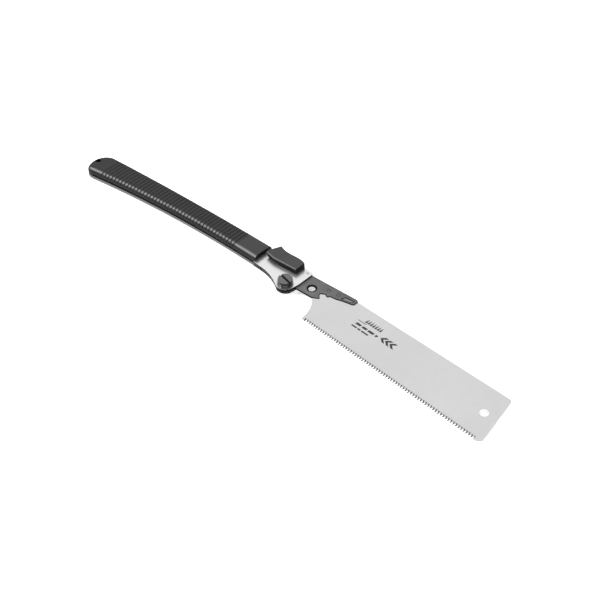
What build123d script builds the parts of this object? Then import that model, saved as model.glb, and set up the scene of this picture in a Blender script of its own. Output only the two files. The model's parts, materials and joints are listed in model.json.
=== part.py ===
from build123d import *
from math import asin, atan2, cos, hypot, radians, sin
import os

# A folding Japanese pull saw, open and lying on its side.
# Plans are drawn from the pivot axis: +x to the blade's tip, +y to the saw's back, +z up.

# ---- where the drawing sits in the part's frame (its origin is under the middle of the box) ----
PIVOT_X = 8.726
PIVOT_Y = -5.951
MID_Z = 10.05  # middle plane of blade and handle above the table

# ---- how it folds ----
FOLD_ANGLE = 175.0  # the blade turns clockwise by this much to close
OPEN_GAP = 0.05  # left at the stop when the saw is open

# ---- blade ----
BLADE_T = 0.7
HEEL = (55.7, -27.8)  # where the tooth line starts
TOOTH_SLOPE = -0.41  # degrees, tooth line against the saw's long axis
TEETH = 70
FIRST_TIP = 0.9  # from the heel
PITCH = 3.584
TIP_LAND = 0.3
GULLET_DEPTH = 3.1
GULLET_FLAT = 0.6
HOOK = 0.12  # how far each gullet reaches behind its tooth tip
TIP_HOLE = (293.9, 7.2)
TIP_HOLE_R = 5.25

# ---- blade holder and its round tang ----
HOLDER_T = 2.1
TANG_R = 11.2
NECK = ((6.9, 8.8), (8.6, 20.0))  # edge of the tang between its disc and the stop shoulder
SHOULDER = (26.0, 33.5)  # from the pivot, along the shoulder
HOLDER_HOLE = (27.7, 16.7)
HOLDER_HOLE_R = 4.25
HOLDER_HOLE_RIM = 2.0  # width of the countersunk rim
HOLDER_HOLE_RIM_DEPTH = 0.65
RIVETS = [(44.8, 27.4), (57.8, 30.5)]
RIVET_R = 1.9
HOLDER_RECESS = 0.4  # depth of the pocket near its front end, on both faces
EDGE_BREAK = 0.55

# ---- side plates ----
LINER_T = 2.0
LINER_GAP = 2.5
LOBE_R = 12.0
HORN_TOP = 34.4
HORN_BACK = -1.1
HORN_FRONT = 13.4
HORN_CORNER = 1.6
LINER_FAR = 26.9  # back edge of the plates under the lever
LINER_NEAR = -0.6
WINDOWS = [(-127.2, 8.1, 5.0), (-187.2, 2.9, 8.0), (-247.2, -5.1, 11.5)]  # x, y, slant in degrees
WINDOW = (44.0, 8.0)

# ---- handle grip ----
GRIP_HALF = 10.05
GRIP_FRONT = -52.8
GRIP_EDGE = 6.4
BELLY_SLOT = 3.2
CORD_HOLE = (-328.0, -9.4)
CORD_HOLE_R = 3.5
CORD_HOLE_RIM = 0.9
SCREW_SPOTS = [(-152.2, 19.6), (-222.2, 14.0), (-292.2, 8.0)]
SCREW_R = 1.5
SCREW_HEAD_R = 3.0
SCREW_TOP = 6.9
SCREW_SEAT = 1.8  # screw head below the grip's face
CROSS_W = 0.9
CROSS_DEPTH = 1.3
INSERT_R = 2.4
INSERT_TOP = 7.4
SPACER_CLEAR = 1.5  # from the folded blade's teeth
SPACER_FRONT = -104.2
SPACER_BACK = -308.0
LINER_RIVET_SPOTS = [(-114.2, 22.4), (-187.2, 17.0), (-257.2, 11.2), (-303.2, 6.9)]
LINER_RIVET_R = 1.0

# ---- pivot ----
BORE_R = 3.0
SCREW_PLAY = 0.05
BUSH_R = 4.2
RUNNING_PLAY = 0.05
THRUST_R = 8.5
THRUST_T = 0.15
HEAD_R = 8.9
HEAD_TOP = 10.2
HEAD_SLOT = (2.3, 2.0)  # width, depth
HEAD_SLOT_ANGLE = -10.0
HEAD_ROUND = 0.6
UPPER_WASHER_R = 10.2
UPPER_WASHER_T = 1.2
SPRING_WASHER_R = 9.2
SPRING_WASHER_T = 1.6
LOWER_WASHER_T = 1.0
WASHER_PLAY = 0.2
SPLIT_ANGLE = -14.0
SPLIT_GAP = 1.2
LOWER_WASHER_R = 8.0
NUT_ACROSS_FLATS = 10.0
NUT_T = 4.0
SCREW_END = 0.6  # thread standing out of the nut
STOP_PIN = (8.0, 30.0)
STOP_PIN_R = 2.0

# ---- lever, pawl and spring ----
LEVER_TOP = 11.0  # its underside is lower, so that the saw rests on its grip
LEVER_UNDER = 9.8
LEVER_PIN = (-26.3, 23.4)
LEVER_PIN_R = 2.0
LEVER_PIN_HALF = 7.7
LEVER_NEAR = 15.4  # nearest to the teeth, under the thumb
LEVER_BACK = -49.0
LEVER_FRONT = 0.0
LEVER_FRONT_SLANT = 1.8
LEVER_BEVEL = 1.1
LEVER_RIM_Y = 20.0  # its edges nearer to the teeth than this are bevelled
CHEEK_GAP = 0.35  # lever cheeks off the side plates
LEVER_UNDERCUT = (2.2, 4.0)  # across, up, under its edge at the thumb end
LEVER_UNDERCUT_FROM = -27.0
THUMB_SCOOP_R = 10.5  # hollow under the thumb end
WEB_NEAR = 30.5  # the web that joins the cheeks starts this far back
WEB_FRONT = -2.2
PAWL_T = 2.1
PAWL_BOSS_R = 5.0
RIM_CLEAR = 0.3  # pawl nose above the tang's rim
NOSE_TILT = -23.9  # degrees: the nose travels along this line
NOSE_W = 4.4
NOSE_SIDE = -3.68  # nose centre, across its line
NOSE_TOP = 19.0
NOTCH_W = 5.05
NOTCH_SIDE = -3.7
NOTCH_FLOOR = 6.9
PAWL_PINS = [(-12.2, 31.9), (-36.2, 31.9)]
PAWL_PIN_R = 1.0
PAWL_PIN_HALF = 7.0
SPRING_POST = (-45.5, 23.6)
SPRING_POST_R = 1.1
SPRING_STOP = (-48.6, 21.0)
SPRING_STOP_R = 0.8
SPRING_COIL = (1.35, 2.1)  # inner and outer radius
SPRING_ARM = 11.5  # from the coil's centre to the tip under the pawl
SPRING_TAIL = 3.4
SPRING_W = 1.8

LINER_OUT = LINER_GAP / 2 + LINER_T
HEAD_BOTTOM = LINER_OUT + UPPER_WASHER_T + SPRING_WASHER_T
STANDING = (Align.CENTER, Align.CENTER, Align.MIN)


def level(height):
    """Plan plane through the pivot axis, this far above the middle plane."""
    return Plane((PIVOT_X, PIVOT_Y, MID_Z + height))


def side_view(y):
    """Upright plane at this y: its x is the saw's x, its y is height over the middle plane."""
    return Plane((PIVOT_X, PIVOT_Y + y, MID_Z), x_dir=(1, 0, 0), z_dir=(0, -1, 0))


def end_view(x):
    """Upright plane at this x: its x is the saw's y, its y is height over the middle plane."""
    return Plane((PIVOT_X + x, PIVOT_Y, MID_Z), x_dir=(0, 1, 0), z_dir=(1, 0, 0))


def from_heel(along, up):
    """Point on the tooth line's own axes, in plan."""
    slope = radians(TOOTH_SLOPE)
    x = HEEL[0] + along * cos(slope) - up * sin(slope)
    y = HEEL[1] + along * sin(slope) + up * cos(slope)
    return (x, y)


def folded(point):
    """Where a point of the blade lies when the saw is closed."""
    turn = radians(-FOLD_ANGLE)
    return (point[0] * cos(turn) - point[1] * sin(turn), point[0] * sin(turn) + point[1] * cos(turn))


def above_folded_teeth(x):
    """Height of the line that stays clear of the closed blade's teeth."""
    start = folded(HEEL)
    end = folded(from_heel(TEETH * PITCH, 0))
    share = (x - start[0]) / (end[0] - start[0])
    return start[1] + share * (end[1] - start[1]) + SPACER_CLEAR


def save(piece, name):
    """Label a finished piece and write it."""
    piece.part.label = name
    export_step(piece.part, f"parts/{name}.step")


os.makedirs("parts", exist_ok=True)

# ======== outlines in plan ========

tooth_points = []
for gap in range(TEETH):
    this_tip = FIRST_TIP + gap * PITCH
    next_tip = this_tip + PITCH
    tooth_points.append(from_heel(this_tip, 0))
    tooth_points.append(from_heel(this_tip + TIP_LAND, 0))
    tooth_points.append(from_heel(next_tip + HOOK - GULLET_FLAT, GULLET_DEPTH))
    tooth_points.append(from_heel(next_tip + HOOK, GULLET_DEPTH - 0.1))
last_tip = from_heel(FIRST_TIP + TEETH * PITCH, 0)
tooth_points.append(last_tip)

with BuildSketch() as blade_plan:
    with BuildLine():
        ThreePointArc((38.7, 5.2), (48.2, -8.8), (51.7, -26.5))
        Polyline((51.7, -26.5), (53.2, -27.7), *tooth_points)
        ThreePointArc(last_tip, (314.8, -28.3), (317.2, -24.5))
        Line((317.2, -24.5), (306.4, 37.2))
        ThreePointArc((306.4, 37.2), (305.1, 40.8), (302.2, 41.95))
        Polyline((302.2, 41.95), (77.7, 37.55), (73.8, 35.3), (37.2, 32.5), (37.2, 7.4), (38.7, 5.2))
    make_face()
    with Locations(TIP_HOLE):
        Circle(TIP_HOLE_R, mode=Mode.SUBTRACT)

stop_reach = hypot(*STOP_PIN)
shoulder = atan2(STOP_PIN[1], STOP_PIN[0]) - asin((STOP_PIN_R + OPEN_GAP) / stop_reach)
shoulder_foot = (SHOULDER[0] * cos(shoulder), SHOULDER[0] * sin(shoulder))
shoulder_head = (SHOULDER[1] * cos(shoulder), SHOULDER[1] * sin(shoulder))

with BuildSketch() as holder_plan:
    Circle(TANG_R)
    with BuildLine():
        Polyline(
            (0, 0),
            *NECK,
            shoulder_foot,
            shoulder_head,
            (14.7, 33.4),
            (78.2, 39.8),
            (81.2, 38.5),
            (82.8, 36.3),
            (82.2, 30.5),
            (80.3, 29.0),
            (69.4, 26.2),
            (60.5, 22.8),
            (55.2, 21.8),
        )
        Polyline((55.2, 21.8), (52.0, 21.1), (51.4, 18.8), (48.0, 18.7), (47.3, 20.1))
        ThreePointArc((47.3, 20.1), (44.0, 19.1), (40.7, 16.2))
        Polyline((40.7, 16.2), (45.7, 10.7), (42.7, 8.2), (37.7, 5.2), (10.8, 3.2), (0, 0))
    make_face()
    for turn in (NOSE_TILT, NOSE_TILT + FOLD_ANGLE):
        with Locations(Location((0, 0, 0), (0, 0, 1), turn)):
            with Locations((NOTCH_SIDE, NOTCH_FLOOR)):
                Rectangle(NOTCH_W, TANG_R, align=(Align.CENTER, Align.MIN), mode=Mode.SUBTRACT)

with BuildSketch() as liner_plan:
    with BuildLine():
        Polyline(
            (HORN_FRONT, 8.2),
            (HORN_FRONT, HORN_TOP - HORN_CORNER),
            (HORN_FRONT - HORN_CORNER, HORN_TOP),
            (HORN_BACK, HORN_TOP),
            (HORN_BACK, LINER_FAR),
            (GRIP_FRONT, LINER_FAR),
            (GRIP_FRONT - 3.0, 28.7),
        )
        ThreePointArc((GRIP_FRONT - 3.0, 28.7), (-187.3, 19.9), (-310.2, 8.2))
        Polyline((-310.2, 8.2), (-312.2, 4.0), (-312.2, -18.1), (-310.2, -21.7))
        ThreePointArc((-310.2, -21.7), (-194.3, -5.3), (-98.2, 1.9))
        Polyline((-98.2, 1.9), (GRIP_FRONT - 1.0, 4.1), (GRIP_FRONT, LINER_NEAR), (-40.2, LINER_NEAR))
        ThreePointArc((-40.2, LINER_NEAR), (-22.9, -2.9), (-7.2, -9.6))
        ThreePointArc((-7.2, -9.6), (0, -LOBE_R), (11.7, -2.66))
        Line((11.7, -2.66), (HORN_FRONT, 8.2))
    make_face()

with BuildSketch() as grip_plan:
    with BuildLine():
        ThreePointArc((GRIP_FRONT, 1.5), (-194.3, -7.8), (-318.4, -26.7))
        Bezier((-318.4, -26.7), (-325.4, -28.1), (-331.0, -30.0), (-334.0, -17.7))
        Bezier((-334.0, -17.7), (-337.1, -5.1), (-328.8, 8.3), (-316.7, 9.8))
        ThreePointArc((-316.7, 9.8), (-187.3, 22.2), (GRIP_FRONT, 30.9))
        Line((GRIP_FRONT, 30.9), (GRIP_FRONT, 1.5))
    make_face()

with BuildSketch() as blade_room:
    Polygon((-47, -45), (-47, 12), (-300, 3), (-314, 2.8), (-319, 0), (-320.3, -4), (-320.3, -45), align=None)

# ======== blade ========

with BuildPart() as saw_blade:
    with BuildSketch(level(-BLADE_T / 2)):
        add(blade_plan.sketch)
        with Locations(*RIVETS):
            Circle(RIVET_R, mode=Mode.SUBTRACT)
    extrude(amount=BLADE_T)
save(saw_blade, "saw_blade")

# ======== blade holder ========

with BuildPart() as blade_holder:
    with BuildSketch(level(-HOLDER_T / 2)):
        add(holder_plan.sketch)
    extrude(amount=HOLDER_T)
    long_faces = blade_holder.faces().sort_by(Axis.Z)
    outer = [e for f in (long_faces[0], long_faces[-1]) for e in f.outer_wire().edges()]
    chamfer([e for e in outer if e.center().X > PIVOT_X + HORN_FRONT + 4], EDGE_BREAK)
    with BuildSketch(level(-HOLDER_T / 2)):
        Circle(BUSH_R + RUNNING_PLAY)
        with Locations(HOLDER_HOLE):
            Circle(HOLDER_HOLE_R)
        with Locations(*RIVETS):
            Circle(RIVET_R)
    extrude(amount=HOLDER_T, mode=Mode.SUBTRACT)
    for face in (1, -1):
        with BuildSketch(level(face * HOLDER_T / 2)):
            Polygon((64.8, 27.5), (76.6, 30.8), (79.0, 33.5), (78.6, 35.0), (66.8, 32.8), align=None)
        extrude(amount=-face * HOLDER_RECESS, mode=Mode.SUBTRACT)
        with BuildSketch(level(face * HOLDER_T / 2)):
            with Locations(HOLDER_HOLE):
                Circle(HOLDER_HOLE_R + HOLDER_HOLE_RIM)
        with BuildSketch(level(face * (HOLDER_T / 2 - HOLDER_HOLE_RIM_DEPTH))):
            with Locations(HOLDER_HOLE):
                Circle(HOLDER_HOLE_R)
        loft(mode=Mode.SUBTRACT)
    add(saw_blade.part, mode=Mode.SUBTRACT)
save(blade_holder, "blade_holder")

with BuildPart() as blade_rivets:
    with BuildSketch(level(-HOLDER_T / 2)):
        with Locations(*RIVETS):
            Circle(RIVET_R)
    extrude(amount=HOLDER_T)
save(blade_rivets, "blade_rivets")

# ======== side plates ========


def side_plate(bottom):
    """One side plate, its lower face at this height."""
    with BuildPart() as plate:
        with BuildSketch(level(bottom)):
            add(liner_plan.sketch)
        extrude(amount=LINER_T)
        with BuildSketch(level(bottom)):
            Circle(BORE_R)
            with Locations(STOP_PIN):
                Circle(STOP_PIN_R)
            with Locations(LEVER_PIN):
                Circle(LEVER_PIN_R)
            with Locations(SPRING_POST):
                Circle(SPRING_POST_R)
            with Locations(SPRING_STOP):
                Circle(SPRING_STOP_R)
            with Locations(*LINER_RIVET_SPOTS):
                Circle(LINER_RIVET_R)
            with Locations(*SCREW_SPOTS):
                Circle(SCREW_R + SCREW_PLAY)
            for x, y, slant in WINDOWS:
                with Locations(Location((x, y, 0), (0, 0, 1), slant)):
                    SlotOverall(*WINDOW)
        extrude(amount=LINER_T, mode=Mode.SUBTRACT)
    return plate


liner_upper = side_plate(LINER_GAP / 2)
save(liner_upper, "liner_upper")
liner_lower = side_plate(-LINER_OUT)
save(liner_lower, "liner_lower")

with BuildPart() as back_spacer:
    with BuildSketch(level(-LINER_GAP / 2)):
        add(liner_plan.sketch)
        Polygon(
            (SPACER_FRONT, above_folded_teeth(SPACER_FRONT)),
            (SPACER_FRONT, 40),
            (SPACER_BACK, 40),
            (SPACER_BACK, above_folded_teeth(SPACER_BACK)),
            align=None,
            mode=Mode.INTERSECT,
        )
        with Locations(*LINER_RIVET_SPOTS):
            Circle(LINER_RIVET_R, mode=Mode.SUBTRACT)
        with Locations(*SCREW_SPOTS):
            Circle(SCREW_R + SCREW_PLAY, mode=Mode.SUBTRACT)
    extrude(amount=LINER_GAP)
save(back_spacer, "back_spacer")

with BuildPart() as liner_rivets:
    with BuildSketch(level(-LINER_OUT)):
        with Locations(*LINER_RIVET_SPOTS):
            Circle(LINER_RIVET_R)
    extrude(amount=2 * LINER_OUT)
save(liner_rivets, "liner_rivets")

# ======== grip shells ========


def grip_shell(side):
    """One grip shell (side +1 is the upper one), solid to the middle plane, cut out for plates and blade."""
    with BuildPart() as shell:
        with BuildSketch(level(0)):
            add(grip_plan.sketch)
        extrude(amount=side * GRIP_HALF)
        rim = shell.faces().sort_by(Axis.Z)[-1 if side > 0 else 0].edges()
        front_edge = rim.sort_by(Axis.X)[-1]
        fillet([e for e in rim if e != front_edge], GRIP_EDGE)
        with BuildSketch(level(0)):
            add(liner_plan.sketch)
        extrude(amount=side * LINER_OUT, mode=Mode.SUBTRACT)
        with BuildSketch(level(0)):
            add(blade_room.sketch)
        extrude(amount=side * BELLY_SLOT / 2, mode=Mode.SUBTRACT)
        with BuildSketch(level(0)):
            with Locations(CORD_HOLE):
                Circle(CORD_HOLE_R)
        extrude(amount=side * GRIP_HALF, mode=Mode.SUBTRACT)
        with BuildSketch(level(side * GRIP_HALF)):
            with Locations(CORD_HOLE):
                Circle(CORD_HOLE_R + CORD_HOLE_RIM)
        with BuildSketch(level(side * (GRIP_HALF - CORD_HOLE_RIM))):
            with Locations(CORD_HOLE):
                Circle(CORD_HOLE_R)
        loft(mode=Mode.SUBTRACT)
    return shell.part


with BuildPart() as grip_upper:
    add(grip_shell(1))
    with BuildSketch(level(0)):
        with Locations(*SCREW_SPOTS):
            Circle(INSERT_R)
    extrude(amount=INSERT_TOP, mode=Mode.SUBTRACT)
save(grip_upper, "grip_upper")

with BuildPart() as grip_lower:
    add(grip_shell(-1))
    with Locations(level(-GRIP_HALF)):
        with Locations(*SCREW_SPOTS):
            Cylinder(SCREW_R + SCREW_PLAY, GRIP_HALF, align=STANDING, mode=Mode.SUBTRACT)
            Cylinder(SCREW_HEAD_R + SCREW_PLAY, SCREW_SEAT, align=STANDING, mode=Mode.SUBTRACT)
    with Locations(level(-GRIP_HALF + SCREW_SEAT)):
        with Locations(*SCREW_SPOTS):
            Cone(
                SCREW_HEAD_R + SCREW_PLAY,
                SCREW_R + SCREW_PLAY,
                SCREW_HEAD_R - SCREW_R,
                align=STANDING,
                mode=Mode.SUBTRACT,
            )
save(grip_lower, "grip_lower")

with BuildPart() as grip_screws:
    with Locations(level(-GRIP_HALF + SCREW_SEAT)):
        with Locations(*SCREW_SPOTS):
            Cone(SCREW_HEAD_R, SCREW_R, SCREW_HEAD_R - SCREW_R, align=STANDING)
            Cylinder(SCREW_R, GRIP_HALF + SCREW_TOP - SCREW_SEAT, align=STANDING)
            Box(SCREW_R * 2.4, CROSS_W, CROSS_DEPTH, align=STANDING, mode=Mode.SUBTRACT)
            Box(CROSS_W, SCREW_R * 2.4, CROSS_DEPTH, align=STANDING, mode=Mode.SUBTRACT)
save(grip_screws, "grip_screws")

with BuildPart() as grip_inserts:
    with BuildSketch(level(LINER_OUT)):
        with Locations(*SCREW_SPOTS):
            Circle(INSERT_R)
            Circle(SCREW_R, mode=Mode.SUBTRACT)
    extrude(amount=INSERT_TOP - LINER_OUT)
save(grip_inserts, "grip_inserts")

# ======== pivot ========

with BuildPart() as pivot_bushing:
    with BuildSketch(level(-LINER_GAP / 2)):
        Circle(BUSH_R)
        Circle(BORE_R, mode=Mode.SUBTRACT)
    extrude(amount=LINER_GAP)
save(pivot_bushing, "pivot_bushing")

for name, bottom in (
    ("thrust_washer_upper", LINER_GAP / 2 - THRUST_T),
    ("thrust_washer_lower", -LINER_GAP / 2),
):
    with BuildPart() as thrust_washer:
        with BuildSketch(level(bottom)):
            Circle(THRUST_R)
            Circle(BUSH_R, mode=Mode.SUBTRACT)
        extrude(amount=THRUST_T)
    save(thrust_washer, name)

with BuildPart() as pivot_screw:
    with BuildSketch(level(HEAD_BOTTOM)):
        Circle(HEAD_R)
    extrude(amount=HEAD_TOP - HEAD_BOTTOM)
    fillet(pivot_screw.edges().filter_by(GeomType.CIRCLE).sort_by(Axis.Z)[-1], HEAD_ROUND)
    with BuildSketch(level(HEAD_TOP)):
        Rectangle(3 * HEAD_R, HEAD_SLOT[0], rotation=HEAD_SLOT_ANGLE)
    extrude(amount=-HEAD_SLOT[1], mode=Mode.SUBTRACT)
    with BuildSketch(level(HEAD_BOTTOM)):
        Circle(BORE_R - SCREW_PLAY)
    extrude(amount=-(HEAD_BOTTOM + LINER_OUT + LOWER_WASHER_T + NUT_T + SCREW_END))
save(pivot_screw, "pivot_screw")

with BuildPart() as upper_washer:
    with BuildSketch(level(LINER_OUT)):
        Circle(UPPER_WASHER_R)
        Circle(BORE_R + WASHER_PLAY, mode=Mode.SUBTRACT)
    extrude(amount=UPPER_WASHER_T)
save(upper_washer, "upper_washer")

with BuildPart() as spring_washer:
    with BuildSketch(level(LINER_OUT + UPPER_WASHER_T)):
        Circle(SPRING_WASHER_R)
        Circle(BORE_R + WASHER_PLAY, mode=Mode.SUBTRACT)
        with Locations(Location((0, 0, 0), (0, 0, 1), SPLIT_ANGLE)):
            with Locations((SPRING_WASHER_R / 2, 0)):
                Rectangle(SPRING_WASHER_R + 2, SPLIT_GAP, mode=Mode.SUBTRACT)
    extrude(amount=SPRING_WASHER_T)
save(spring_washer, "spring_washer")

with BuildPart() as lower_washer:
    with BuildSketch(level(-LINER_OUT)):
        Circle(LOWER_WASHER_R)
        Circle(BORE_R + WASHER_PLAY, mode=Mode.SUBTRACT)
    extrude(amount=-LOWER_WASHER_T)
save(lower_washer, "lower_washer")

with BuildPart() as pivot_nut:
    with BuildSketch(level(-LINER_OUT - LOWER_WASHER_T)):
        RegularPolygon(NUT_ACROSS_FLATS / 2, 6, major_radius=False, rotation=12)
        Circle(BORE_R - SCREW_PLAY, mode=Mode.SUBTRACT)
    extrude(amount=-NUT_T)
    with BuildSketch(level(-LINER_OUT - LOWER_WASHER_T)):
        Circle(NUT_ACROSS_FLATS / 2 + 1.5)
    extrude(amount=-NUT_T, taper=20, mode=Mode.INTERSECT)
save(pivot_nut, "pivot_nut")

with BuildPart() as stop_pin:
    with BuildSketch(level(-LINER_OUT)):
        with Locations(STOP_PIN):
            Circle(STOP_PIN_R)
    extrude(amount=2 * LINER_OUT)
save(stop_pin, "stop_pin")

# ======== lock: pawl, lever, pins and spring ========

with BuildPart() as lock_pawl:
    with BuildSketch(level(-PAWL_T / 2)):
        with Locations(LEVER_PIN):
            Circle(PAWL_BOSS_R)
        Polygon((-41.5, 22.6), (-26, 22.6), (-26, 33.3), (-39, 33.3), (-40.2, 28.4), (-41.5, 26.2), align=None)
        Polygon((-26, 18.8), (2.2, 17.2), (6.3, 18.2), (5.6, 21.5), (1.0, 25.8), (-7.2, 27.5), align=None)
        Polygon((-26, 18.8), (-7.2, 18.8), (-7.2, 27.5), (-8.2, 33.3), (-26, 33.3), align=None)
        with Locations(Location((0, 0, 0), (0, 0, 1), NOSE_TILT)):
            with Locations((NOSE_SIDE, NOTCH_FLOOR)):
                Rectangle(NOSE_W, NOSE_TOP - NOTCH_FLOOR, align=(Align.CENTER, Align.MIN))
        Circle(TANG_R + RIM_CLEAR, mode=Mode.SUBTRACT)
        with Locations(LEVER_PIN):
            Circle(LEVER_PIN_R + RUNNING_PLAY, mode=Mode.SUBTRACT)
        with Locations(*PAWL_PINS):
            Circle(PAWL_PIN_R, mode=Mode.SUBTRACT)
    extrude(amount=PAWL_T)
save(lock_pawl, "lock_pawl")

with BuildPart() as lock_lever:
    with BuildSketch(level(-LEVER_UNDER)):
        with BuildLine():
            Polyline((-42.2, 36.2), (-46.4, 26.2), (LEVER_BACK, 20.0), (-48.4, 17.2), (-35.0, LEVER_NEAR))
            Polyline((-35.0, LEVER_NEAR), (LEVER_FRONT, 19.3), (0.2, 32.3))
            ThreePointArc((0.2, 32.3), (-0.4, 33.8), (-1.9, 34.6))
            Spline((-1.9, 34.6), (-9.0, 35.8), (-27.5, 34.2), (-40.2, 36.4))
            ThreePointArc((-40.2, 36.4), (-41.4, 36.7), (-42.2, 36.2))
        make_face()
    extrude(amount=LEVER_UNDER + LEVER_TOP)
    flats = lock_lever.faces().sort_by(Axis.Z)
    rims = flats[0].edges() + flats[-1].edges()
    chamfer([e for e in rims if e.center().Y < PIVOT_Y + LEVER_RIM_Y], LEVER_BEVEL)
    cheek = LINER_OUT + CHEEK_GAP
    with BuildSketch(end_view(LEVER_UNDERCUT_FROM)):
        for side in (1, -1):
            Polygon(
                (LEVER_NEAR - 2, side * cheek),
                (LEVER_NEAR + LEVER_UNDERCUT[0], side * cheek),
                (LEVER_NEAR, side * (cheek + LEVER_UNDERCUT[1])),
                (LEVER_NEAR - 2, side * (cheek + LEVER_UNDERCUT[1])),
                align=None,
            )
    extrude(amount=LEVER_BACK - LEVER_UNDERCUT_FROM - 5, mode=Mode.SUBTRACT)
    with BuildSketch(end_view(LEVER_BACK - 5)):
        with Locations((LEVER_NEAR - 5, 0)):
            Rectangle(WEB_NEAR - LEVER_NEAR + 5, 2 * cheek, align=(Align.MIN, Align.CENTER))
    extrude(amount=70, mode=Mode.SUBTRACT)
    with BuildSketch(side_view(LEVER_NEAR - 5)):
        for side in (1, -1):
            top = side * (LEVER_TOP + 1)
            Polygon(
                (LEVER_FRONT + 3, side * cheek),
                (LEVER_FRONT + 3, top),
                (LEVER_FRONT - LEVER_FRONT_SLANT, top),
                (LEVER_FRONT, side * cheek),
                align=None,
            )
            with Locations((LEVER_BACK - 6.2, side * 1.5)):
                Circle(THUMB_SCOOP_R)
        with Locations((WEB_FRONT, 0)):
            Rectangle(6, 2 * cheek, align=(Align.MIN, Align.CENTER))
    extrude(amount=-40, mode=Mode.SUBTRACT)
    add(lock_pawl.part, mode=Mode.SUBTRACT)
    with BuildSketch(level(-LEVER_PIN_HALF)):
        with Locations(LEVER_PIN):
            Circle(LEVER_PIN_R + RUNNING_PLAY)
    extrude(amount=2 * LEVER_PIN_HALF, mode=Mode.SUBTRACT)
    with BuildSketch(level(-PAWL_PIN_HALF)):
        with Locations(*PAWL_PINS):
            Circle(PAWL_PIN_R)
    extrude(amount=2 * PAWL_PIN_HALF, mode=Mode.SUBTRACT)
save(lock_lever, "lock_lever")

with BuildPart() as pawl_pins:
    with BuildSketch(level(-PAWL_PIN_HALF)):
        with Locations(*PAWL_PINS):
            Circle(PAWL_PIN_R)
    extrude(amount=2 * PAWL_PIN_HALF)
save(pawl_pins, "pawl_pins")

with BuildPart() as lever_pin:
    with BuildSketch(level(-LEVER_PIN_HALF)):
        with Locations(LEVER_PIN):
            Circle(LEVER_PIN_R)
    extrude(amount=2 * LEVER_PIN_HALF)
save(lever_pin, "lever_pin")

with BuildPart() as spring_posts:
    with BuildSketch(level(-LINER_OUT)):
        with Locations(SPRING_POST):
            Circle(SPRING_POST_R)
        with Locations(SPRING_STOP):
            Circle(SPRING_STOP_R)
    extrude(amount=2 * LINER_OUT)
save(spring_posts, "spring_posts")

wire = SPRING_COIL[1] - SPRING_COIL[0]
with BuildPart() as lever_spring:
    with BuildSketch(level(-SPRING_W / 2)):
        with Locations(SPRING_POST):
            Circle(SPRING_COIL[1])
            with Locations((0, -SPRING_COIL[1])):
                Rectangle(SPRING_ARM, wire, align=(Align.MIN, Align.MIN))
            with Locations((-SPRING_COIL[1], 0)):
                Rectangle(wire, SPRING_TAIL, align=(Align.MIN, Align.MAX))
            Circle(SPRING_COIL[0], mode=Mode.SUBTRACT)
    extrude(amount=SPRING_W)
save(lever_spring, "lever_spring")
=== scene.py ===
import json
from math import cos, pi, radians, sin

import bmesh
import bpy
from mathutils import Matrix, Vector
from mathutils.bvhtree import BVHTree

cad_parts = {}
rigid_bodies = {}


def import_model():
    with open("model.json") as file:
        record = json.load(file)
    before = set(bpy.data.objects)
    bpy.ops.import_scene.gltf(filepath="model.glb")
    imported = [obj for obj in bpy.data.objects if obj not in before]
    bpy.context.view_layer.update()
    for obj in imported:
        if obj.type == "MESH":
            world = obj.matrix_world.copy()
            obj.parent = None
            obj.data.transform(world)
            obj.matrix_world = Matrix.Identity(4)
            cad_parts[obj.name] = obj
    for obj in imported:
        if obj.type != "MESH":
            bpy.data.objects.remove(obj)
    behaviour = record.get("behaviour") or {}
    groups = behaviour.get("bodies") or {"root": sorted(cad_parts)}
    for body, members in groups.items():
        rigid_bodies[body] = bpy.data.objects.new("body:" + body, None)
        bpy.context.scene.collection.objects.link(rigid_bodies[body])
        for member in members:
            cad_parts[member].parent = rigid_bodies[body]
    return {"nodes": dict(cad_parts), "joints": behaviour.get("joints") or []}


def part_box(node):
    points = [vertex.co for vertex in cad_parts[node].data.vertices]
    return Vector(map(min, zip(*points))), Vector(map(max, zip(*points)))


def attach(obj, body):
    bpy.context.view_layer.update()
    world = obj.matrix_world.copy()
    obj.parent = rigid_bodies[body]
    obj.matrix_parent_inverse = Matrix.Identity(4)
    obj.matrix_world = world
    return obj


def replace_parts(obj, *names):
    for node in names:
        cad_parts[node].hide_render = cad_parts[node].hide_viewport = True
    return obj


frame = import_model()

MM = 0.001
nodes = frame["nodes"]
joints = {joint["name"]: joint for joint in frame["joints"]}
pivot = Vector(joints["blade_fold"]["pos_m"])  # on the pivot axis, at the blade's middle plane
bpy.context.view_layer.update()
scene = bpy.context.scene

# ---- grip ----
GRIP_EDGE = 6.4 * MM  # rounding of the shells' long edges, as in the CAD
GROOVES = 43
GROOVE_PITCH = 5.15 * MM
FIRST_GROOVE = -88.3 * MM  # from the pivot
GROOVE_W = 2.1 * MM
GROOVE_DEPTH = 0.85 * MM
GROOVE_SHAPE = (  # across one groove, in widths and depths
    (-0.5, 0.0), (-0.3, 0.45), (-0.12, 0.92), (0.12, 0.92), (0.3, 0.45), (0.5, 0.0),
)
GROOVE_BENDS = 9  # points around each rounded edge
GROOVE_FADE = 3.0  # points over which a groove runs out at either end
CUTTER_LIP = 0.05 * MM  # how far a cutter's rim stands outside the skin
CUTTER_BACK = 2.0 * MM  # how far its back stands outside the skin
PROBE_BELOW_EDGE = 0.4 * MM  # the shell's width is probed this far below the rounding
PROBE_START = 50 * MM
GRIP_SMOOTH = radians(38)
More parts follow.
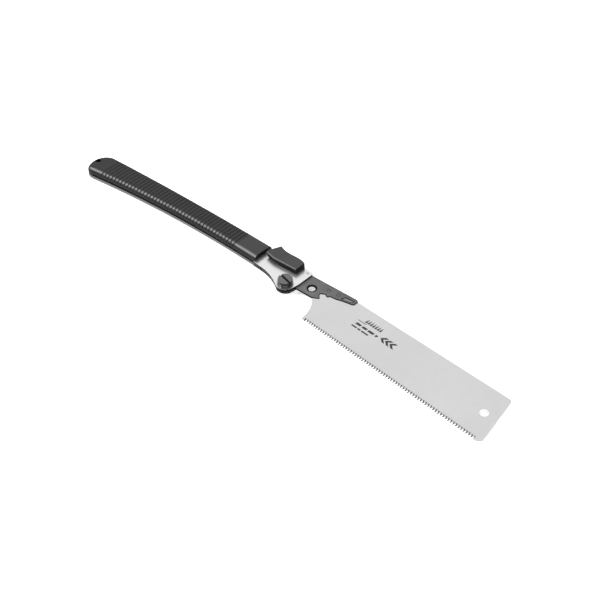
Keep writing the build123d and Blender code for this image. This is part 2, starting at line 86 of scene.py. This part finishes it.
# ---- lever ----
PANEL_DEPTH = 0.7 * MM
PANEL_MARGIN = 1.4 * MM  # from the lever's flat faces
PANEL_ABOVE_PLATE = 0.2 * MM  # more of it beside the plates
PANEL_INSET = 5.6 * MM  # from the lever's near and far side
PANEL_TOOL_LENGTH = 2.0 * MM  # ahead of the lever's front
LEVER_SLANT = 1.8 * MM  # how far its front leans back
SLANT_RUNS_ON = 1.0 * MM  # past the flat faces
LEVER_SMOOTH = radians(30)
# ---- blade and holder ----
HEEL_FROM_PIVOT = (55.7 * MM, -27.8 * MM)  # where the tooth line starts
TOOTH_SLOPE = radians(-0.41)
TOOTH_PITCH = 3.584 * MM
TOOTH_DEPTH = 3.1 * MM
TOOTH_ROW = 251.8 * MM
FIRST_TOOTH = 0.9 * MM
FLANK_LEAN = 0.22  # pitches per tooth depth
POCKET_FLOOR = 0.65 * MM  # floor of the holder's pocket, from the middle plane
# ---- print on the blade: millimetres from the heel ----
PRINT_FROM, PRINT_TO = 0.002, 0.02  # above the blade's face
PRINT_LINE = (45.5, 44.4, 12.0, 0.9)  # x, y, length, height
PRINT_ROWS = (  # y, height, and each bar's x and length
    (37.8, 3.2, ((46.7, 7.5), (56.2, 7.0), (65.2, 8.5), (76.0, 3.0))),
    (32.6, 2.1, ((45.0, 7.5), (54.0, 4.5), (60.0, 10.0))),
)
BAR_LEAN = 0.3  # of a bar's height
PRINT_TEETH, PRINT_TEETH_X, PRINT_TEETH_PITCH = 7, 53.5, 3.5
PRINT_TOOTH = ((0.0, 47.0), (3.1, 47.0), (2.6, 54.0))
CHEVRONS, CHEVRONS_X, CHEVRON_PITCH = 3, 83.5, 6.6
CHEVRON_Y, CHEVRON_WIDTH, CHEVRON_HEIGHT = 36.4, 5.0, 9.0
# ---- floor, light and camera ----
FLOOR_HALF = 6.0
FLOOR_DROP = 0.1 * MM
FLOOR_GLOW = 0.45  # an acrylic table, lit from beneath
WORLD_LIGHT = 0.45
LIT_POINT = Vector((0.0, 0.0, 0.01))
SOFTBOXES = (  # name, place from the lit point, size, watts
    ("far_softbox", (-1.3, 1.5, 1.9), (2.4, 1.8), 8.0),
    ("top_softbox", (0.2, -0.2, 2.0), (1.6, 1.6), 22.0),
    ("near_softbox", (-0.95, -1.15, 1.2), (0.9, 1.2), 52.0),
)
CAMERA_FROM_PIVOT = Vector((822.9, -831.8, 1144.5)) * MM
TARGET_FROM_PIVOT = Vector((30.25, -6.29, 0.0)) * MM
LENS = 82.9
SENSOR = 36.0
CLIP_END = 20.0


# ======== materials ========


def grey(level):
    return (level, level, level, 1.0)


class Nodes:
    """Shorthand for building one material's nodes."""

    def __init__(self, name):
        self.material = bpy.data.materials.new(name)
        self.material.use_nodes = True
        self.tree = self.material.node_tree
        self.shader = self.tree.nodes["Principled BSDF"]
        self.place = self.add("ShaderNodeTexCoord").outputs["Object"]
        self.normal = self.add("ShaderNodeNewGeometry").outputs["Normal"]

    def add(self, kind, **settings):
        node = self.tree.nodes.new(kind)
        for key, value in settings.items():
            setattr(node, key, value)
        return node

    def link(self, source, target):
        self.tree.links.new(source, target)

    def feed(self, socket, value):
        """Links an output, or sets a plain value."""
        if isinstance(value, bpy.types.NodeSocket):
            self.link(value, socket)
        else:
            socket.default_value = value

    def axis(self, letter, vector=None):
        """One coordinate of the part's own frame, or of another vector."""
        split = self.add("ShaderNodeSeparateXYZ")
        self.link(vector or self.place, split.inputs[0])
        return split.outputs[letter]

    def noise(self, scale, stretch=(1, 1, 1), detail=3.0, rough=0.55):
        mapping = self.add("ShaderNodeMapping")
        mapping.inputs["Scale"].default_value = stretch
        self.link(self.place, mapping.inputs["Vector"])
        node = self.add("ShaderNodeTexNoise")
        node.inputs["Scale"].default_value = scale
        node.inputs["Detail"].default_value = detail
        node.inputs["Roughness"].default_value = rough
        self.link(mapping.outputs["Vector"], node.inputs["Vector"])
        return node.outputs["Fac"]

    def spread(self, value, low, high, to_low=0.0, to_high=1.0):
        """A value between low and high, spread between to_low and to_high and held there."""
        node = self.add("ShaderNodeMapRange")
        self.feed(node.inputs["Value"], value)
        for name, number in (("From Min", low), ("From Max", high), ("To Min", to_low), ("To Max", to_high)):
            node.inputs[name].default_value = number
        return node.outputs["Result"]

    def calc(self, kind, a, b=0.0):
        node = self.add("ShaderNodeMath", operation=kind)
        self.feed(node.inputs[0], a)
        self.feed(node.inputs[1], b)
        return node.outputs[0]

    def mix(self, share, a, b):
        """Colour a to colour b by share."""
        node = self.add("ShaderNodeMix", data_type="RGBA")
        self.feed(node.inputs["Factor"], share)
        self.feed(node.inputs[6], a)
        self.feed(node.inputs[7], b)
        return node.outputs[2]

    def rounded(self, radius):
        """The normal over edges softened within this radius."""
        bevel = self.add("ShaderNodeBevel", samples=6)
        bevel.inputs["Radius"].default_value = radius
        return bevel.outputs["Normal"]

    def edges(self, radius, low=0.0, high=0.12):
        """1 on outer and inner edges within this radius, 0 on flats."""
        dot = self.add("ShaderNodeVectorMath", operation="DOT_PRODUCT")
        self.link(self.rounded(radius), dot.inputs[0])
        self.link(self.normal, dot.inputs[1])
        return self.spread(dot.outputs["Value"], 1.0 - high, 1.0 - low, 1.0, 0.0)

    def uprights(self, low=0.35, high=0.65):
        """1 where the surface stands upright, 0 where it lies flat."""
        lie = self.calc("ABSOLUTE", self.axis("Z", self.normal))
        return self.spread(lie, low, high, 1.0, 0.0)

    def bump(self, height, strength, distance, radius=0.0):
        """Bump from a height, over softly rounded edges where a radius is given."""
        node = self.add("ShaderNodeBump")
        node.inputs["Strength"].default_value = strength
        node.inputs["Distance"].default_value = distance
        self.link(height, node.inputs["Height"])
        if radius:
            self.link(self.rounded(radius), node.inputs["Normal"])
        self.link(node.outputs["Normal"], self.shader.inputs["Normal"])

    def finish(self, colour, rough, metallic, specular=0.5):
        for name, value in (("Base Color", colour), ("Roughness", rough), ("Metallic", metallic),
                            ("Specular IOR Level", specular)):
            self.feed(self.shader.inputs[name], value)
        return self.material


def brushed_steel(name, level, rough, painted_shade_level=None, streak=(6, 240, 240), wear=0.0):
    """Ground or brushed steel: streaks, cloudy tone, upright faces painted darker as painted shade where a
    level is given, rubbed corners.
    """
    n = Nodes(name)
    streaks = n.noise(14.0, streak, 4.0, 0.6)
    clouds = n.noise(22.0, detail=2.0)
    tone = n.mix(n.spread(streaks, 0.3, 0.7), grey(level * 0.90), grey(min(1.0, level * 1.05)))
    tone = n.mix(n.spread(clouds, 0.35, 0.7, 0.0, 0.35), tone, grey(level * 0.86))
    # Upright faces are painted darker: painted shade.
    if painted_shade_level is not None:
        tone = n.mix(n.uprights(), tone, grey(painted_shade_level))
    if wear:
        tone = n.mix(n.calc("MULTIPLY", n.edges(0.35 * MM), wear), tone, grey(min(1.0, level * 1.2)))
    n.bump(streaks, 0.10, 0.02 * MM, 0.18 * MM)
    return n.finish(tone, n.spread(streaks, 0.25, 0.75, rough * 0.85, rough * 1.25), 1.0)


def dark_coating(name, level, painted_shade_level, edge_radius, rough=0.42):
    """Matt dark coating over steel: pocket floor painted paler as painted light, edges, side faces and hole
    walls painted near black as painted shade, with scuffs on these rims.
    """
    n = Nodes(name)
    grain = n.noise(1900.0, detail=2.0)
    clouds = n.noise(60.0)
    tone = n.mix(n.spread(clouds, 0.35, 0.7), grey(level * 0.88), grey(level * 1.1))
    depth = n.calc("ABSOLUTE", n.calc("SUBTRACT", n.axis("Z"), pivot.z))
    # The pocket floor is painted paler: painted light.
    lit_pocket_floor = n.spread(depth, POCKET_FLOOR + 0.05 * MM, POCKET_FLOOR + 0.15 * MM, 1.0, 0.0)
    tone = n.mix(lit_pocket_floor, tone, grey(level * 1.7))
    # Edges, side faces, chamfers and hole walls are painted near black: painted shade.
    shaded_rim = n.calc("MAXIMUM", n.edges(edge_radius, 0.0, 0.015), n.uprights(0.955, 0.985))
    tone = n.mix(shaded_rim, tone, grey(painted_shade_level))
    scuffs = n.spread(n.noise(420.0, (1, 3, 1), 4.0), 0.66, 0.74, 0.0, 0.5)
    tone = n.mix(n.calc("MULTIPLY", shaded_rim, scuffs), tone, grey(level * 2.2))
    n.bump(grain, 0.25, 0.03 * MM, 0.3 * MM)
    return n.finish(tone, n.spread(grain, 0.3, 0.7, rough * 0.9, rough * 1.15),
                    n.spread(shaded_rim, 0.0, 1.0, 0.35, 0.0), n.spread(shaded_rim, 0.0, 1.0, 0.45, 0.04))


def moulded(name, level, rough, grain_size, wear_and_edge_highlight, painted_side_shade, edge_radius,
            plain_front=None, lit_lower_side_level=None):
    """Moulded black plastic or elastomer: fine spark texture, cloudy tone, sides painted darker as painted
    shade, edges painted lighter as wear and painted highlight.

    The grip also has a level for its plain front, ahead of the grooves, painted lighter than the ribbed part,
    whose darker tone is painted groove shade, and for its lower shell's sides, painted lighter as painted
    light.
    """
    n = Nodes(name)
    grain = n.noise(grain_size, detail=2.0, rough=0.6)
    clouds = n.noise(35.0)
    tone = n.mix(n.spread(clouds, 0.3, 0.7), grey(level * 0.85), grey(level * 1.2))
    shaded_sides = n.uprights()
    if plain_front is not None:
        ahead = pivot.x + FIRST_GROOVE + GROOVE_PITCH / 2
        # The plain front is painted lighter than the ribbed part: the ribbed part's darker tone is painted
        # shade of the grooves.
        tone = n.mix(n.spread(n.axis("X"), ahead, ahead + 2 * MM), tone, grey(plain_front))
        upper_shell = n.spread(n.axis("Z"), pivot.z - 2.0 * MM, pivot.z - 1.2 * MM)
        # The lower shell's sides are painted lighter: painted light, while the upper shell's sides get the
        # painted shade.
        lit_lower_sides = n.calc("MULTIPLY", shaded_sides, n.calc("SUBTRACT", 1.0, upper_shell))
        tone = n.mix(lit_lower_sides, tone, grey(lit_lower_side_level))
        shaded_sides = n.calc("MULTIPLY", shaded_sides, upper_shell)
    # Upright faces are painted darker: painted shade.
    tone = n.mix(shaded_sides, tone, grey(painted_side_shade))
    # Edges are painted lighter: rubbed wear and a painted highlight along them.
    rub = n.spread(n.noise(160.0, detail=4.0), 0.35, 0.75, 0.15, 1.0)
    tone = n.mix(n.calc("MULTIPLY", n.edges(edge_radius), rub), tone, grey(wear_and_edge_highlight))
    n.bump(grain, 0.22, 0.05 * MM, edge_radius * 0.7)
    return n.finish(tone, n.spread(grain, 0.3, 0.7, rough * 0.88, rough * 1.18), 0.0,
                    n.spread(shaded_sides, 0.0, 1.0, 0.45, 0.10))


def blade_steel(name):
    """Bright ground blade with painted shade on one flank of every tooth, for its shaded ground facet,
    tempered along the teeth.
    """
    n = Nodes(name)
    streaks = n.noise(11.0, (160, 6, 1), 4.0, 0.6)
    clouds = n.noise(9.0, detail=2.0)
    specks = n.noise(700.0)
    tone = n.mix(n.spread(streaks, 0.3, 0.7), grey(0.66), grey(0.74))
    tone = n.mix(n.spread(clouds, 0.35, 0.7, 0.0, 0.4), tone, grey(0.62))
    tone = n.mix(n.spread(specks, 0.70, 0.78, 0.0, 0.25), tone, grey(0.45))

    row = n.add("ShaderNodeMapping", vector_type="TEXTURE")
    row.inputs["Location"].default_value = (pivot.x + HEEL_FROM_PIVOT[0], pivot.y + HEEL_FROM_PIVOT[1], 0)
    row.inputs["Rotation"].default_value = (0, 0, TOOTH_SLOPE)
    n.link(n.place, row.inputs["Vector"])
    from_heel = n.axis("X", row.outputs["Vector"])
    along = n.calc("DIVIDE", n.calc("SUBTRACT", from_heel, FIRST_TOOTH), TOOTH_PITCH)
    height = n.calc("DIVIDE", n.axis("Y", row.outputs["Vector"]), TOOTH_DEPTH)
    phase = n.calc("FRACT", n.calc("ADD", along, n.calc("MULTIPLY", height, FLANK_LEAN)))
    # A near-black mark on one flank of every tooth: painted shade of the ground tooth facets.
    painted_flank_shade = n.calc("MULTIPLY", n.spread(phase, 0.02, 0.07), n.spread(phase, 0.45, 0.52, 1.0, 0.0))
    painted_flank_shade = n.calc("MULTIPLY", painted_flank_shade, n.spread(height, 1.30, 1.55, 1.0, 0.0))
    in_row = n.calc("MULTIPLY", n.spread(from_heel, -MM, 0.0),
                    n.spread(from_heel, TOOTH_ROW, TOOTH_ROW + MM, 1.0, 0.0))
    tempered = n.spread(height, 0.9, 2.2, 0.35, 0.0)
    tone = n.mix(n.calc("MULTIPLY", tempered, in_row), tone, (0.50, 0.49, 0.47, 1.0))
    tone = n.mix(n.calc("MULTIPLY", painted_flank_shade, in_row), tone, grey(0.03))
    n.bump(streaks, 0.06, 0.02 * MM)
    return n.finish(tone, n.spread(streaks, 0.25, 0.75, 0.30, 0.42), 1.0)


def blackened(name, level, rough):
    """Black-oxide turned steel: fine turning marks, painted shade below the screw head's top, a painted dark
    outline of shade on its edges, rubbed edges.
    """
    n = Nodes(name)
    marks = n.noise(500.0, (1, 1, 0.2), 4.0, 0.6)
    tone = n.mix(n.spread(marks, 0.3, 0.7), grey(level * 0.8), grey(level * 1.2))
    head_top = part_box("pivot_screw")[1].z
    # Everything below the head's top, the head's side, nut and grip screws too, is painted darker: painted
    # shade.
    shaded_below_top = n.spread(n.axis("Z"), head_top - 0.7 * MM, head_top - 0.05 * MM, 1.0, 0.0)
    tone = n.mix(shaded_below_top, tone, grey(level * 0.15))
    # Edges are painted near black: a painted dark outline of shade.
    tone = n.mix(n.edges(0.9 * MM, 0.0, 0.03), tone, grey(level * 0.12))
    rub = n.spread(n.noise(900.0), 0.6, 0.75, 0.0, 0.6)
    tone = n.mix(n.calc("MULTIPLY", n.edges(0.2 * MM), rub), tone, grey(0.4))
    n.bump(marks, 0.15, 0.03 * MM, 0.25 * MM)
    return n.finish(tone, n.spread(marks, 0.3, 0.7, rough * 0.85, rough * 1.2), 0.7,
                    n.spread(shaded_below_top, 0.0, 1.0, 0.5, 0.05))


def brass(name):
    """Turned brass with fine marks."""
    n = Nodes(name)
    marks = n.noise(400.0, (1, 1, 3), 4.0)
    tone = n.mix(n.spread(marks, 0.3, 0.7), (0.55, 0.38, 0.13, 1), (0.72, 0.53, 0.22, 1))
    n.bump(marks, 0.15, 0.03 * MM)
    return n.finish(tone, n.spread(marks, 0.3, 0.7, 0.28, 0.42), 1.0)


def ink(name):
    """Patchy black printing ink."""
    n = Nodes(name)
    patchy = n.noise(900.0)
    tone = n.mix(n.spread(patchy, 0.35, 0.75), grey(0.022), grey(0.06))
    n.bump(patchy, 0.1, 0.01 * MM)
    return n.finish(tone, n.spread(patchy, 0.3, 0.7, 0.5, 0.65), 0.0)


looks = {
    "blade": blade_steel("blade_steel_ground"),
    "holder": dark_coating("holder_coating_matt", level=0.104, painted_shade_level=0.003, edge_radius=1.5 * MM),
    "flush": dark_coating("rivet_coating_matt", level=0.100, painted_shade_level=0.07, edge_radius=0.1 * MM),
    "plate": brushed_steel("plate_steel_brushed", level=0.86, rough=0.30, painted_shade_level=0.004),
    "inner_plate": brushed_steel("spacer_steel", level=0.45, rough=0.40),
    "pivot": blackened("pivot_black_oxide", level=0.135, rough=0.40),
    "washer": brushed_steel("washer_steel_bright", level=0.60, rough=0.28, painted_shade_level=0.012,
                            streak=(60, 60, 60), wear=0.3),
    "pin": brushed_steel("pin_steel_turned", level=0.55, rough=0.30, streak=(60, 60, 200), wear=0.4),
    "lever": moulded("lever_plastic_moulded", level=0.027, rough=0.50, grain_size=1500.0, wear_and_edge_highlight=0.085,
                     painted_side_shade=0.006, edge_radius=0.5 * MM),
    "grip": moulded("grip_rubber_soft", level=0.007, rough=0.38, grain_size=2100.0, wear_and_edge_highlight=0.035,
                    painted_side_shade=0.004, edge_radius=0.35 * MM, plain_front=0.019, lit_lower_side_level=0.045),
    "brass": brass("insert_brass_turned"),
    "ink": ink("blade_print_ink"),
}
for look, names in {
    "blade": ("saw_blade",),
    "holder": ("blade_holder",),
    "flush": ("blade_rivets",),
    "plate": ("liner_upper", "liner_lower"),
    "inner_plate": ("back_spacer",),
    "pivot": ("pivot_screw", "pivot_nut", "grip_screws"),
    "washer": ("upper_washer", "spring_washer", "lower_washer", "thrust_washer_upper", "thrust_washer_lower"),
    "pin": ("liner_rivets", "stop_pin", "lever_pin", "pawl_pins", "spring_posts", "lever_spring",
            "lock_pawl"),
    "brass": ("grip_inserts", "pivot_bushing"),
}.items():
    for name in names:
        for material_slot in nodes[name].material_slots:
            material_slot.material = looks[look]


# ======== mesh helpers ========


def new_piece(name, mesh, look, body):
    mesh.materials.clear()
    mesh.materials.append(looks[look])
    piece = bpy.data.objects.new(name, mesh)
    scene.collection.objects.link(piece)
    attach(piece, body)
    return piece


def mesh_of(name, vertices, faces):
    mesh = bpy.data.meshes.new(name)
    mesh.from_pydata(vertices, [], faces)
    mesh.update()
    return mesh


def face_outwards(mesh, weld=0.0):
    """Turns the faces outwards, once points this close together are welded."""
    b = bmesh.new()
    b.from_mesh(mesh)
    if weld:
        bmesh.ops.remove_doubles(b, verts=b.verts, dist=weld)
    bmesh.ops.recalc_face_normals(b, faces=b.faces)
    b.to_mesh(mesh)
    b.free()
    return mesh


def welded(node):
    """A closed copy of a CAD node's mesh."""
    return face_outwards(nodes[node].data.copy(), weld=1e-7)


def mesh_of_solids(name, solids):
    """One mesh of separate closed solids, each given as vertices and faces."""
    vertices, faces = [], []
    for more, more_faces in solids:
        start = len(vertices)
        vertices += more
        faces += [tuple(start + k for k in face) for face in more_faces]
    return face_outwards(mesh_of(name, vertices, faces))


def carved(mesh, cutter_mesh, smooth_angle):
    """The first mesh with the second taken away, smooth shaded under this angle."""
    body = bpy.data.objects.new("carved_body", mesh)
    cutter = bpy.data.objects.new("carving_tool", cutter_mesh)
    for item in (body, cutter):
        scene.collection.objects.link(item)
    boolean = body.modifiers.new("carve", "BOOLEAN")
    boolean.operation = "DIFFERENCE"
    boolean.object = cutter
    boolean.solver = "EXACT"
    bpy.context.view_layer.update()
    result = bpy.data.meshes.new_from_object(body.evaluated_get(bpy.context.evaluated_depsgraph_get()))
    for item in (body, cutter):
        bpy.data.objects.remove(item)
    for polygon in result.polygons:
        polygon.use_smooth = True
    old_normals = result.attributes.get("custom_normal")
    if old_normals:
        result.attributes.remove(old_normals)
    result.set_sharp_from_angle(angle=smooth_angle)
    return result


def grid_solid(outer, inner):
    """Vertices and faces of a solid between two equal grids of points, given as lists of rows."""
    rows, columns = len(outer), len(outer[0])
    vertices = [p for row in outer for p in row] + [p for row in inner for p in row]
    half = rows * columns
    faces = []
    for i in range(rows - 1):
        for j in range(columns - 1):
            a = i * columns + j
            quad = (a, a + 1, a + columns + 1, a + columns)
            faces.append(quad)
            faces.append(tuple(half + k for k in reversed(quad)))
    ring = list(range(columns))
    ring += [i * columns + columns - 1 for i in range(1, rows)]
    ring += [(rows - 1) * columns + j for j in range(columns - 2, -1, -1)]
    ring += [i * columns for i in range(rows - 2, 0, -1)]
    for k, a in enumerate(ring):
        b = ring[(k + 1) % len(ring)]
        faces.append((b, a, half + a, half + b))
    return vertices, faces


# ======== ribbed grip shells ========


def groove_cutters(node, side):
    """A cutter for every groove between the ribs of one shell, from edge to edge over its crown."""
    low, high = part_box(node)
    crown = high.z if side > 0 else low.z
    tree = BVHTree.FromObject(nodes[node], bpy.context.evaluated_depsgraph_get())
    probe_z = crown - side * (GRIP_EDGE + PROBE_BELOW_EDGE)
    turns = [pi / 2 * k / (GROOVE_BENDS - 1) for k in range(GROOVE_BENDS)]
    solids = []
    for i in range(GROOVES):
        x = pivot.x + FIRST_GROOVE - i * GROOVE_PITCH
        near = tree.ray_cast(Vector((x, low.y - PROBE_START, probe_z)), Vector((0, 1, 0)))[0].y
        far = tree.ray_cast(Vector((x, high.y + PROBE_START, probe_z)), Vector((0, -1, 0)))[0].y
        section = []  # y, z and the normal there
        for turn in turns:
            section.append((near + GRIP_EDGE * (1 - cos(turn)), crown - side * GRIP_EDGE * (1 - sin(turn)),
                            -cos(turn), side * sin(turn)))
        for turn in turns:
            section.append((far - GRIP_EDGE * (1 - sin(turn)), crown - side * GRIP_EDGE * (1 - cos(turn)),
                            sin(turn), side * cos(turn)))
        last = len(section) - 1
        outer, inner = [], []
        for k, (y, z, ny, nz) in enumerate(section):
            fade = min(1.0, min(k, last - k) / GROOVE_FADE)
            outer.append([(x + s * GROOVE_W, y + ny * CUTTER_BACK, z + nz * CUTTER_BACK)
                          for s, _ in GROOVE_SHAPE])
            row = []
            for s, depth in GROOVE_SHAPE:
                sink = GROOVE_DEPTH * depth * fade - CUTTER_LIP * (1 if depth * fade == 0 else 0)
                row.append((x + s * GROOVE_W, y - ny * sink, z - nz * sink))
            inner.append(row)
        solids.append(grid_solid(outer, inner))
    return mesh_of_solids("rib_cutter", solids)


for node, side in (("grip_upper", 1), ("grip_lower", -1)):
    shell = carved(welded(node), groove_cutters(node, side), GRIP_SMOOTH)
    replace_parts(new_piece(node + "_ribbed", shell, "grip", "handle"), node)

# ======== lever with its sunk front panels ========

BOX_FACES = ((0, 1, 3, 2), (4, 6, 7, 5), (0, 4, 5, 1), (2, 3, 7, 6), (0, 2, 6, 4), (1, 5, 7, 3))


def panel_solid(side, face_z, plate_z):
    """The cutter for one panel: on the slanted front, between a side plate and the lever's flat face."""
    low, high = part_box("lock_lever")
    slant_height = (face_z - plate_z) * side + SLANT_RUNS_ON
    vertices = []
    for z in (plate_z + side * (PANEL_MARGIN + PANEL_ABOVE_PLATE), face_z - side * PANEL_MARGIN):
        front = high.x - LEVER_SLANT * (z - plate_z) * side / slant_height
        for x in (front - PANEL_DEPTH, front + PANEL_TOOL_LENGTH):
            vertices += [(x, low.y + PANEL_INSET, z), (x, high.y - PANEL_INSET, z)]
    return vertices, BOX_FACES


low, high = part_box("lock_lever")
panels = mesh_of_solids("lever_panels", [panel_solid(1, high.z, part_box("liner_upper")[1].z),
                                         panel_solid(-1, low.z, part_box("liner_lower")[0].z)])
lever = carved(welded("lock_lever"), panels, LEVER_SMOOTH)
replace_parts(new_piece("lock_lever_moulded", lever, "lever", "lever"), "lock_lever")

# ======== generic printed marks on the blade ========

print_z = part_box("saw_blade")[1].z
heel_x, heel_y = pivot.x + HEEL_FROM_PIVOT[0], pivot.y + HEEL_FROM_PIVOT[1]


def print_solid(outline):
    """A thin patch of ink with this outline."""
    count = len(outline)
    vertices = [(heel_x + x * MM, heel_y + y * MM, print_z + h * MM)
                for h in (PRINT_FROM, PRINT_TO) for x, y in outline]
    faces = [tuple(range(count, 2 * count)), tuple(range(count - 1, -1, -1))]
    for k in range(count):
        m = (k + 1) % count
        faces.append((k, m, count + m, count + k))
    return vertices, faces


def bar(x, y, length, height):
    lean = height * BAR_LEAN
    return [(x, y), (x + length, y), (x + length + lean, y + height), (x + lean, y + height)]


def chevron(x, y, width, height):
    """An arrow head that points to the handle, the way the saw cuts."""
    return [(x, y + height / 2), (x + width, y + height), (x + width * 1.8, y + height),
            (x + width * 0.8, y + height / 2), (x + width * 1.8, y), (x + width, y)]


patches = [bar(*PRINT_LINE)]
for k in range(PRINT_TEETH):
    patches.append([(PRINT_TEETH_X + PRINT_TEETH_PITCH * k + x, y) for x, y in PRINT_TOOTH])
for y, height, bars in PRINT_ROWS:
    patches += [bar(x, y, length, height) for x, length in bars]
for k in range(CHEVRONS):
    patches.append(chevron(CHEVRONS_X + CHEVRON_PITCH * k, CHEVRON_Y, CHEVRON_WIDTH, CHEVRON_HEIGHT))
marks = mesh_of_solids("blade_marks", [print_solid(outline) for outline in patches])
new_piece("blade_marks", marks, "ink", "blade")

# ======== floor ========

corners = [(x * FLOOR_HALF, y * FLOOR_HALF, -FLOOR_DROP) for x, y in ((-1, -1), (1, -1), (1, 1), (-1, 1))]
floor_mesh = mesh_of("floor", corners, [(0, 1, 2, 3)])
n = Nodes("pale_floor")
paper = n.noise(300.0)
n.shader.inputs["Emission Color"].default_value = grey(1.0)
n.shader.inputs["Emission Strength"].default_value = FLOOR_GLOW
floor_mesh.materials.append(
    n.finish(n.mix(paper, grey(0.90), grey(0.93)), n.spread(paper, 0.3, 0.7, 0.85, 0.95), 0.0, 0.1)
)
floor = bpy.data.objects.new("floor", floor_mesh)
scene.collection.objects.link(floor)

# ======== light ========

world = bpy.data.worlds.new("studio")
world.use_nodes = True
world.node_tree.nodes["Background"].inputs["Color"].default_value = grey(1.0)
world.node_tree.nodes["Background"].inputs["Strength"].default_value = WORLD_LIGHT
scene.world = world

for name, place, size, watts in SOFTBOXES:
    lamp = bpy.data.lights.new(name, "AREA")
    lamp.shape = "RECTANGLE"
    lamp.size, lamp.size_y = size
    lamp.energy = watts
    softbox = bpy.data.objects.new(name, lamp)
    softbox.location = LIT_POINT + Vector(place)
    softbox.rotation_euler = (LIT_POINT - softbox.location).to_track_quat("-Z", "Y").to_euler()
    scene.collection.objects.link(softbox)

# The near softbox is flagged off the bare steel, which would mirror it to white from behind.
flagged = bpy.data.collections.new("flagged_off_near_softbox")
bare_steel = (looks["blade"], looks["plate"], looks["ink"])
for item in scene.objects:
    if item.type == "MESH" and item.data.materials and item.data.materials[0] in bare_steel:
        flagged.objects.link(item)
for entry in flagged.collection_objects:
    entry.light_linking.link_state = "EXCLUDE"
bpy.data.objects["near_softbox"].light_linking.receiver_collection = flagged

# ======== camera ========

camera_data = bpy.data.cameras.new("photo_camera")
camera_data.lens = LENS
camera_data.sensor_width = SENSOR
camera_data.clip_end = CLIP_END
camera = bpy.data.objects.new("photo_camera", camera_data)
camera.location = pivot + CAMERA_FROM_PIVOT
aim = pivot + TARGET_FROM_PIVOT - camera.location
camera.rotation_euler = aim.to_track_quat("-Z", "Y").to_euler()
scene.collection.objects.link(camera)
scene.camera = camera
scene.view_settings.view_transform = "Standard"
scene.view_settings.look = "None"
